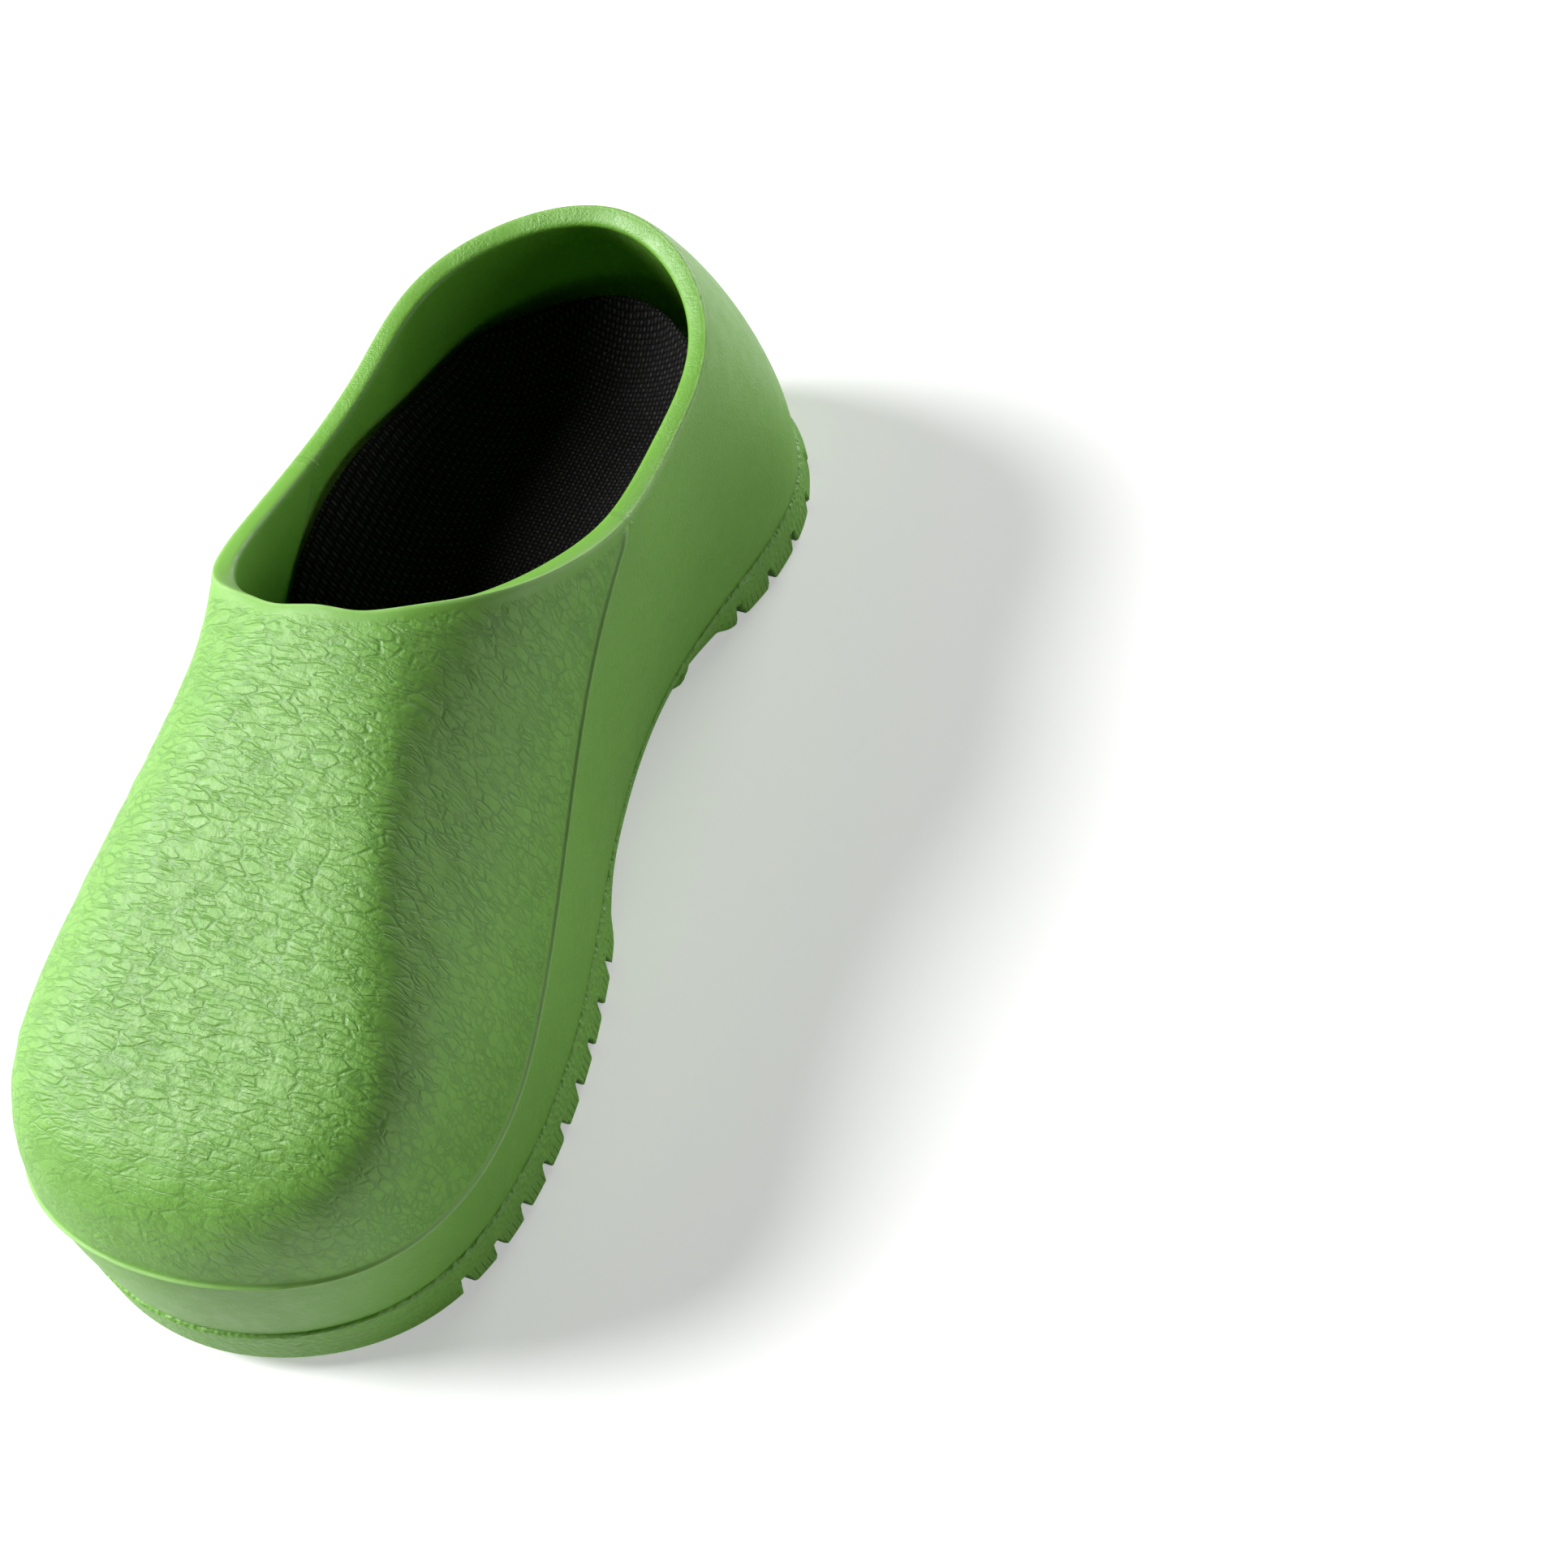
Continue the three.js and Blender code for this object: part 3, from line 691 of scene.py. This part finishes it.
def build_vamp():
    station = np.linspace(-PANEL_TIP, PANEL_TIP, VAMP_COLUMNS)
    rim_start = rim_share(station)
    low = np.minimum(parting_share(station), rim_start)
    scale = section_scale(station, low)
    slant = np.gradient(low, station) * scale
    pace = np.linalg.norm(outer_wall(station + TINY, low)
                          - outer_wall(station - TINY, low), axis=-1) / (2 * TINY)
    lean = 1 / np.sqrt(1 + (slant / np.maximum(pace, 1)) ** 2)
    share = np.linspace(0, 1, VAMP_ROWS)
    share = share * mix(1 - VAMP_CROWDING, 1, share)
    v = low[None, :] + (rim_start - low)[None, :] * share[:, None]
    columns = np.broadcast_to(station, v.shape)
    outer = outer_wall(columns, v)
    normal, _ = wall_frame(columns, v)
    steps = np.linalg.norm(np.diff(outer, axis=0), axis=-1)
    from_line = np.concatenate([np.zeros((1, len(station))), np.cumsum(steps, axis=0)]) * lean
    to_rim = (np.sum(steps, axis=0)[None, :] - from_line / lean)
    bead = BEAD_HEIGHT * np.exp(-((from_line - BEAD_OFFSET) / BEAD_WIDTH) ** 2)
    proud = BEAD_STEP * ramp((0, BEAD_OFFSET), from_line) * ramp(STEP_FADE, to_rim)
    calm = ramp(GRAIN_EDGE, from_line) * ramp(GRAIN_RIM, to_rim)
    swell = swell_field(outer.reshape(-1, 3)).reshape(v.shape)
    grain = calm * mix(GRAIN_TOE_DEPTH, 1.0, ramp(GRAIN_TOE, outer[..., 1]))
    crest = CREST_HEIGHT * np.exp(-((v - CREST_SHARE) / CREST_WIDTH) ** 2)
    crest = crest * (1 - ramp(CREST_REACH, np.abs(columns - CREST_MIDDLE)))
    aside = (columns - SHOULDER_AT[0]) / SHOULDER_SIZE[0]
    above = (v - SHOULDER_AT[1]) / SHOULDER_SIZE[1]
    dip = SHOULDER_DIP * np.exp(-aside ** 2 - above ** 2)
    outer = outer + normal * (bead + proud + crest - dip + SWELL * swell * calm)[..., None]
    rim = edge_cap(station, rim_start, RIM_ROWS)
    inside = [inner_wall(station, mix(rim_start, low, part))
              for part in np.linspace(0, 1, VAMP_INSIDE_ROWS)]
    grid = np.concatenate([outer, np.array(rim), np.array(inside)])
    rows, cols = grid.shape[:2]
    points = grid.reshape(-1, 3)
    index = np.arange(rows * cols).reshape(rows, cols)
    after = np.roll(index, -1, axis=0)
    faces = np.stack([index[:, :-1], index[:, 1:], after[:, 1:], after[:, :-1]], axis=-1)
    faces = faces.reshape(-1, 4).tolist()
    faces.append(index[:, 0].tolist())
    faces.append(index[::-1, -1].tolist())
    piece = make_piece("vamp_skin", points, faces, "clog", vamp_material(),
                       "vamp")
    paint(piece, "grain", grain)
    # painted highlight along the bead and the rim's outer edge
    rim_highlight_rows = np.broadcast_to(rim_highlight(), (RIM_ROWS - 1, VAMP_COLUMNS))
    paint(piece, "edge_highlight", np.concatenate([bead / BEAD_HEIGHT, rim_highlight_rows]))


# ---------------------------------------------------------------------------
# Outsole
# ---------------------------------------------------------------------------

SOLE_COLUMNS = 1000
SOLE_CELLS = 150
SOLE_SIDE_ROWS = 12
SOLE_SIDE_CURVE = 0.8        # 1 is a straight side, less is a curved one
SOLE_STEP = 0.7              # the sole stands this proud of the shell's crease
SOLE_LIPS = ((0.25, -0.15), (-0.2, 0.1), (-1.2, 0.0))    # its rounded top: outwards, up
SOLE_SHOULDER = 0.6          # where the round top starts, below the crease
SOLE_FLARE_FORE = 1
SOLE_FLARE_HEEL = 4
FLARE_HEEL_RAMP = (105, 132)
SOLE_TUCK_ARCH = 3           # how far the arch side is drawn in, between the next two ramps
TUCK_FORE = (-30, 10)
TUCK_BACK = (40, 80)
GROUND_ROUND = 1.6           # rounding of the lower edge; the next three are shares of it
GROUND_INSET = 0.55
EDGE_INSET = 0.12
EDGE_RISE = 0.45

LATTICE = 11.0               # radius and spacing of the arcs that make the channels
LATTICE_SHIFT = 4
CHANNEL_HALF = 1.1
CHANNEL_SLOPE = 1.2
CHANNEL_DEPTH = 3.6
EDGE_BAND = 12               # width of the edge blocks
GROOVE_MIDDLE = EDGE_BAND + 1
GROOVE_SIDE = (0.9, 2.0)     # the groove's sides, from its middle
INNER_SIDE = (EDGE_BAND + 1.5, EDGE_BAND + 2.5)
FORE_ZONE = (-105, -22)
HEEL_ZONE = (64, 117)
FORE_FIELD = (-105, -33)
HEEL_FIELD = (75, 117)
ZONE_SOFT = 0.6
FORE_NOTCH = (-28.0, -9.6, 9)    # first, pitch and count of the slots between edge blocks
HEEL_NOTCH = (67.5, 11.6, 5)
NOTCH_HALF = 1.3
NOTCH_RISE = 5.0
NOTCH_END = (EDGE_BAND - 1, EDGE_BAND + 1)
FORE_BAR = (-31.5, -21)      # rows of three ribbed blocks across the sole
HEEL_BAR = (63, 73)
BAR_SLOT = 9.5
SLOT_SIDE = (0.8, 1.7)
CROSS_SIDE = (0.8, 1.8)
BLOCK_SOFT = 0.5             # half the width of a block's sloping side

RIBBED_BAND = 7.0
RIBBED_SOFT = 1
RIBBED_HEIGHT = (4, 6)       # the ribs fade out over these heights
ARCH = (-19, 62)
ARCH_RAMP = 3
ARCH_RISE = 3.6
PLATE_FRONT, PLATE_BACK = -2, 48
PLATE_END_HALF = 24
PLATE_WAIST_HALF = 13
BLOCK_INNER = (1.0, 1.6)     # the arch's blocks begin at this distance from the plate
BLOCK_WIDTH = 8.5
BLOCK_OUTER = 1.2            # width of the slope at their outer ends
BLOCK_PITCH = (PLATE_BACK - PLATE_FRONT) / 7
BLOCK_SLOT = (0.5, 1.1)
BLOCK_LOW = 0.7


def sole_flare(loop):
    """How far the sole's foot stands out from its top."""
    x, y = loop[:, 0], loop[:, 1]
    arch = ramp(TUCK_FORE, y) * (1 - ramp(TUCK_BACK, y))
    tuck = np.where(x > 0, SOLE_TUCK_ARCH, 0)
    flare = mix(SOLE_FLARE_FORE, SOLE_FLARE_HEEL, ramp(FLARE_HEEL_RAMP, y))
    return flare - (tuck + SOLE_FLARE_FORE) * arch


def channel_distance(x, y):
    """Distance to the middle of the pinwheel channels: quarter circles round lattice points."""
    u, v = x / LATTICE, y / LATTICE
    best = np.full(x.shape, np.inf)
    for di in (-1, 0, 1, 2):
        for dj in (-1, 0, 1, 2):
            i = np.floor(u) + di
            j = np.floor(v) + dj
            dx, dy = u - i, v - j
            odd = np.mod(i + j, 2) == 1
            allowed = np.where(np.mod(i, 2) == 1, dx * dy >= 0, dx * dy <= 0)
            distance = np.abs(np.hypot(dx, dy) - 1)
            best = np.where(odd & allowed, np.minimum(best, distance), best)
    return best * LATTICE


def within(zone, y, soft):
    """1 inside a zone and 0 outside it, with soft ends."""
    first, last = zone
    return ramp((first - soft, first + soft), y) * (1 - ramp((last - soft, last + soft), y))


def both(fore, heel, y, soft):
    return np.maximum(within(fore, y, soft), within(heel, y, soft))


def plate_half_width(y):
    """Half width of the waisted plate under the arch."""
    share = np.clip((y - PLATE_FRONT) / (PLATE_BACK - PLATE_FRONT), 0, 1)
    waist = 2 * PLATE_WAIST_HALF - PLATE_END_HALF
    return mix(mix(PLATE_END_HALF, waist, share), mix(waist, PLATE_END_HALF, share), share)


def arch_blocks(x, y):
    """Blocks that follow the plate's waist: how much block there is, and which are ribbed."""
    out = np.abs(x) - plate_half_width(y)
    band = ramp(BLOCK_INNER, out) * (1 - ramp((BLOCK_WIDTH, BLOCK_WIDTH + BLOCK_OUTER), out))
    turn = (y - PLATE_FRONT) / BLOCK_PITCH
    from_slot = np.abs(turn - np.round(turn)) * BLOCK_PITCH
    block = band * ramp(BLOCK_SLOT, from_slot) * within((PLATE_FRONT, PLATE_BACK), y, BLOCK_SOFT)
    return block, np.mod(np.floor(turn), 2) == 0


def notches(y, edge):
    """The slots between the edge blocks."""
    height = np.zeros(y.shape)
    for first, pitch, count in (FORE_NOTCH, HEEL_NOTCH):
        for k in range(count):
            distance = np.abs(y - first - k * pitch)
            cut = 1 - ramp((NOTCH_HALF - BLOCK_SOFT, NOTCH_HALF + BLOCK_SOFT), distance)
            height = np.maximum(height, NOTCH_RISE * cut)
    return height * (1 - ramp(NOTCH_END, edge))


def ground_height(x, y, half_span, middle):
    """Height of the tread over the ground before the toe lift."""
    edge = half_span - np.abs(x - middle)
    inside = ramp(INNER_SIDE, edge)
    channel = 1 - ramp((CHANNEL_HALF, CHANNEL_HALF + CHANNEL_SLOPE),
                       channel_distance(x, y - LATTICE_SHIFT))
    groove = 1 - ramp(GROOVE_SIDE, np.abs(edge - GROOVE_MIDDLE))
    cut = np.maximum(channel * inside * both(FORE_FIELD, HEEL_FIELD, y, ZONE_SOFT),
                     groove * both(FORE_ZONE, HEEL_ZONE, y, ZONE_SOFT))
    slot = 1 - ramp(SLOT_SIDE, np.abs(np.abs(x - middle) - BAR_SLOT))
    slot = slot * both(FORE_BAR, HEEL_BAR, y, BLOCK_SOFT)
    cross = 1 - ramp(CROSS_SIDE, np.minimum(np.abs(y - FORE_BAR[0]), np.abs(y - HEEL_BAR[1])))
    cut = np.maximum(cut, np.maximum(slot, cross) * inside)
    height = np.maximum(CHANNEL_DEPTH * cut, notches(y, edge))
    arch = ARCH_RISE * within(ARCH, y, ARCH_RAMP)
    block, _ = arch_blocks(x, y)
    return np.maximum(height, mix(arch, np.minimum(arch, BLOCK_LOW), block))


def rib_share(points, half_span, middle):
    """How ribbed each point is: on the edge blocks, the bars and every other arch block."""
    x, y, z = points.T
    edge = half_span - np.abs(x - middle)
    band = 1 - ramp((RIBBED_BAND - BLOCK_SOFT, RIBBED_BAND + BLOCK_SOFT), edge)
    band = band * both(FORE_ZONE, HEEL_ZONE, y, RIBBED_SOFT)
    bars = both(FORE_BAR, HEEL_BAR, y, RIBBED_SOFT)
    block, is_ribbed = arch_blocks(x, y)
    low = 1 - ramp(RIBBED_HEIGHT, z)
    return np.maximum(np.maximum(band, bars), block * is_ribbed) * low


def build_outsole():
    station = np.arange(SOLE_COLUMNS) * STATIONS / SOLE_COLUMNS
    edge = sole_edge(station)
    crease = np.column_stack([edge, np.full(SOLE_COLUMNS, float(CREASE_Z))])
    flare = sole_flare(crease)
    ground = offset_loop(crease, flare)
    half = SOLE_COLUMNS // 2
    y_sorted = ground[:half + 1, 1]
    right = ground[:half + 1, 0]
    left_y = ground[half:, 1][::-1]
    left = ground[half:, 0][::-1]

    def spans(y):
        high = np.interp(y, y_sorted, right)
        low = np.interp(y, left_y, left)
        return (high - low) / 2, (high + low) / 2

    def height(x, y):
        half_span, middle = spans(y)
        return ground_height(x, y, half_span, middle)

    rise = height(ground[:, 0], ground[:, 1])
    inset = offset_loop(ground, -GROUND_INSET * GROUND_ROUND)
    loops = [at_height(inset, height)]
    loops.append(raised(ground, -EDGE_INSET * GROUND_ROUND, rise + EDGE_RISE * GROUND_ROUND))
    for share in np.linspace(0, 1, SOLE_SIDE_ROWS):
        outwards = mix(flare, SOLE_STEP, share ** SOLE_SIDE_CURVE)
        z = mix(rise + GROUND_ROUND, CREASE_Z - SOLE_SHOULDER, share)
        loops.append(raised(crease, outwards, z))
    loops += [raised(crease, outwards, CREASE_Z + up) for outwards, up in SOLE_LIPS]
    points, faces = closed_solid(
        np.array(loops), height, lambda x, y: CREASE_Z + 0 * x, SOLE_CELLS, HIDDEN_CELLS)
    piece = make_piece("outsole_tread", points, faces, "clog", outsole_material(),
                       "outsole")
    half_span, middle = spans(points[:, 1])
    paint(piece, "ribbed", rib_share(points, half_span, middle))


# ---------------------------------------------------------------------------
# Arch plate
# ---------------------------------------------------------------------------

PLATE_TOP = 3.3
PLATE_LOW = 1.25
PLATE_STEPS = 30
PLATE_BEVELS = ((0.9, 0.0), (0.25, 0.3), (0.0, 0.9))    # inset and rise, from the ground up


def build_arch_plate():
    """A waisted plate; its ground edge is rounded by a few inset loops."""
    y = np.linspace(PLATE_FRONT, PLATE_BACK, PLATE_STEPS)
    bow = plate_half_width(y)
    front_x = np.linspace(-PLATE_END_HALF, PLATE_END_HALF, PLATE_STEPS)[1:-1]
    back_x = front_x[::-1]
    outline = np.concatenate([
        np.column_stack([front_x, np.full(len(front_x), PLATE_FRONT)]),
        np.column_stack([bow, y]),
        np.column_stack([back_x, np.full(len(back_x), PLATE_BACK)]),
        np.column_stack([-bow, y])[::-1],
    ])
    outline = np.roll(outline, -(len(front_x) // 2), axis=0)
    flat = np.column_stack([outline, np.zeros(len(outline))])
    loops = [raised(flat, -inset, PLATE_LOW + rise) for inset, rise in PLATE_BEVELS]
    loops.append(raised(flat, 0, PLATE_TOP))
    points, faces = closed_solid(
        np.array(loops), lambda x, y: PLATE_LOW + 0 * x, lambda x, y: PLATE_TOP + 0 * x,
        HIDDEN_CELLS, HIDDEN_CELLS)
    make_piece("arch_plate_skin", points, faces, "clog", plate_material(),
               "arch_plate")


# ---------------------------------------------------------------------------
# Footbed
# ---------------------------------------------------------------------------

PART_GAP = 0.4
LAYER_GAP = 0.05
BASE_THICKNESS = 1.2
CORE_FORE = 3.5
CORE_HEEL = 5
CUP_FORE = 2                 # how far the border stands over the middle
CUP_HEEL = 16
CUP_REACH = 24
CUP_RAMP = (-60, 60)
OUTER_RISE = 20              # extra height of the border on the outer side
OUTER_SIDE = (0, -30)
OUTER_FORE = (-28, 18)
OUTER_BACK = (20, 105)
FOOTBED_CLEARANCE = 2.4
LIFT_ROOM = 18               # the outline is clear of the wall up to this height over it
PROBE_BELOW = 1
PROBE_TOP = 0.9              # the share up to which the wall is looked at
PROBES = 60
FOOTBED_COLUMNS = 480
FOOTBED_CELLS = 90
PAD_CELLS = 40
CORE_ROWS = 9
LINING_THICKNESS = 1.5
LINING_ROLL = 0.7            # the lining's edge is rolled up here, and drops off outside it
ROLL_AT = 1.4
ROLL_WIDTH = 1.1
EDGE_DROP = 1.1
EDGE_DROP_REACH = 1.3
LINING_INSETS = (0.0, 0.25, 0.7, 1.3)
CHUNK = 4000                 # points whose distances are worked out at a time


def footbed_outline(station, height_at):
    """The footbed's outline at a height, clear of the wall it has to lift past."""
    bottom = floor_share(station)
    origin = inner_wall(station, bottom)
    origin[:, 2] = 0
    outward = offset_loop(origin, 1.0) - origin
    height = height_at(origin[:, 0], origin[:, 1])
    limit = np.full(len(station), np.inf)
    for share in np.linspace(0, 1, PROBES):
        point = inner_wall(station, mix(bottom, PROBE_TOP, share))
        reach = np.sum((point - origin) * outward * (1, 1, 0), axis=1)
        facing = (point[:, 2] > height - PROBE_BELOW) & (point[:, 2] < height + LIFT_ROOM)
        limit = np.where(facing, np.minimum(limit, reach), limit)
    limit = np.where(np.isfinite(limit), limit, 0)
    return origin + outward * (limit - FOOTBED_CLEARANCE)[:, None]


def base_low(x, y):
    return floor_z(y) + PART_GAP


def base_high(x, y):
    return base_low(x, y) + BASE_THICKNESS


def core_low(x, y):
    return base_high(x, y) + LAYER_GAP


def core_centre(y):
    """Thickness of the core along its middle."""
    return mix(CORE_FORE, CORE_HEEL, ramp(CUP_RAMP, y))


def cup_rise(x, y):
    """How far the border stands over the middle: most at the heel and on the outer side."""
    outer = ramp(OUTER_SIDE, x) * ramp(OUTER_FORE, y) * (1 - ramp(OUTER_BACK, y))
    return mix(CUP_FORE, CUP_HEEL, ramp(CUP_RAMP, y)) + OUTER_RISE * outer


def border_height(x, y):
    return core_low(x, y) + core_centre(y) + cup_rise(x, y)


def distance_to_loop(x, y, loop):
    """Distance from many points to a closed loop, by its nearest vertices."""
    result = np.empty(len(x))
    for begin in range(0, len(x), CHUNK):
        part = slice(begin, begin + CHUNK)
        gap = np.hypot(x[part, None] - loop[None, :, 0], y[part, None] - loop[None, :, 1])
        result[part] = gap.min(axis=1)
    return result


def build_footbed():
    station = np.arange(FOOTBED_COLUMNS) * STATIONS / FOOTBED_COLUMNS
    foot = footbed_outline(station, base_high)
    border = footbed_outline(station, border_height)

    def core_high(x, y):
        share = np.clip(1 - distance_to_loop(x, y, border) / CUP_REACH, 0, 1) ** 2
        return core_low(x, y) + core_centre(y) + cup_rise(x, y) * share

    def lining_low(x, y):
        return core_high(x, y) + LAYER_GAP

    def lining_high(x, y):
        edge = distance_to_loop(x, y, border)
        roll = LINING_ROLL * np.exp(-((edge - ROLL_AT) / ROLL_WIDTH) ** 2)
        drop = EDGE_DROP * np.clip(1 - edge / EDGE_DROP_REACH, 0, 1) ** 2
        return lining_low(x, y) + LINING_THICKNESS + roll - drop

    base_loops = np.array([at_height(foot, base_low), at_height(foot, base_high)])
    points, faces = closed_solid(base_loops, base_low, base_high, PAD_CELLS, PAD_CELLS)
    make_piece("jute_base", points, faces, "footbed", jute_material(), "footbed_base")
    low = at_height(foot, core_low)
    high = at_height(border, core_high)
    core_loops = np.array([mix(low, high, share) for share in np.linspace(0, 1, CORE_ROWS)])
    points, faces = closed_solid(core_loops, core_low, core_high, PAD_CELLS, PAD_CELLS)
    make_piece("cork_core", points, faces, "footbed", cork_material(), "footbed_core")
    rows = [at_height(border, lining_low)]
    for inset in LINING_INSETS:
        rows.append(at_height(offset_loop(border, -inset), lining_high))
    points, faces = closed_solid(
        np.array(rows), lining_low, lining_high, PAD_CELLS, FOOTBED_CELLS)
    lining = make_piece("woven_lining", points, faces, "footbed", lining_material(),
                        "footbed_lining")


# ---------------------------------------------------------------------------
# Stage, lights and camera
# ---------------------------------------------------------------------------

CAMERA_PLACE = (0.2757, -0.2326, 0.4958)
VIEW_DIRECTION = (-0.3524, 0.4353, -0.8284)
VIEW_UP = (-0.2424, 0.8126, 0.5301)
CAMERA_LENS = 60.75

FLOOR_HALF = 6.0
FLOOR_HEIGHT = -0.0001
FLOOR_SEEN = 0.4             # the floor's own brightness: as it is looked at, and as a light
FLOOR_GLOW = 0.03
BACKDROP_SEEN = 0.45         # the backdrop's brightness: as it is looked at, and as a light
AMBIENT = 0.01
LIGHT_TARGET = (0, 0, 0.05)
LIGHTS = (                   # name, place and width in metres, power in watts
    ("key", (-0.98, -0.27, 0.9), 0.7, 34),
    ("back", (0.1, 1.2, 0.25), 0.6, 9),
    ("side", (1.15, 0.1, 0.2), 0.6, 3.2),
)


def seen_strength(tree, seen, lit):
    """A strength that is paler where it is looked at than where it lights the clog."""
    path = tree.nodes.new("ShaderNodeLightPath")
    choice = tree.nodes.new("ShaderNodeMapRange")
    tree.links.new(path.outputs["Is Camera Ray"], choice.inputs["Value"])
    choice.inputs["To Min"].default_value = lit
    choice.inputs["To Max"].default_value = seen
    return choice.outputs["Result"]


def build_stage():
    mesh = bpy.data.meshes.new("floor")
    corners = [(x * FLOOR_HALF, y * FLOOR_HALF, FLOOR_HEIGHT)
               for x, y in ((-1, -1), (1, -1), (1, 1), (-1, 1))]
    mesh.from_pydata(corners, [], [(0, 1, 2, 3)])
    floor = bpy.data.objects.new("floor", mesh)
    bpy.context.scene.collection.objects.link(floor)
    nodes = Nodes("studio_floor", (0.9, 0.9, 0.9), 0.7)
    nodes.shader.inputs["Emission Color"].default_value = (1, 1, 1, 1)
    nodes.link(seen_strength(nodes.tree, FLOOR_SEEN, FLOOR_GLOW),
               nodes.shader.inputs["Emission Strength"])
    mesh.materials.append(nodes.material)


def add_area(name, place, size, power):
    light = bpy.data.lights.new(name, "AREA")
    light.shape = "DISK"
    light.size = size
    light.energy = power
    lamp = bpy.data.objects.new(name, light)
    lamp.location = place
    aim = Vector(LIGHT_TARGET) - Vector(place)
    lamp.rotation_euler = aim.to_track_quat("-Z", "Y").to_euler()
    bpy.context.scene.collection.objects.link(lamp)


def build_lights():
    world = bpy.data.worlds.new("studio")
    world.use_nodes = True
    background = world.node_tree.nodes["Background"]
    background.inputs["Color"].default_value = (1, 1, 1, 1)
    strength = seen_strength(world.node_tree, BACKDROP_SEEN, AMBIENT)
    world.node_tree.links.new(strength, background.inputs["Strength"])
    bpy.context.scene.world = world
    for light in LIGHTS:
        add_area(*light)


def build_camera():
    data = bpy.data.cameras.new("camera")
    data.sensor_width = 36
    data.lens = CAMERA_LENS
    data.clip_start = 0.01
    camera = bpy.data.objects.new("camera", data)
    back = -Vector(VIEW_DIRECTION).normalized()
    right = Vector(VIEW_UP).cross(back).normalized()
    up = back.cross(right)
    turn = Matrix((right, up, back)).transposed()
    camera.matrix_world = Matrix.Translation(CAMERA_PLACE) @ turn.to_4x4()
    bpy.context.scene.collection.objects.link(camera)
    bpy.context.scene.camera = camera


bpy.context.scene.view_settings.view_transform = "Standard"
build_side_shell()
build_vamp()
build_outsole()
build_arch_plate()
build_footbed()
build_stage()
build_lights()
build_camera()
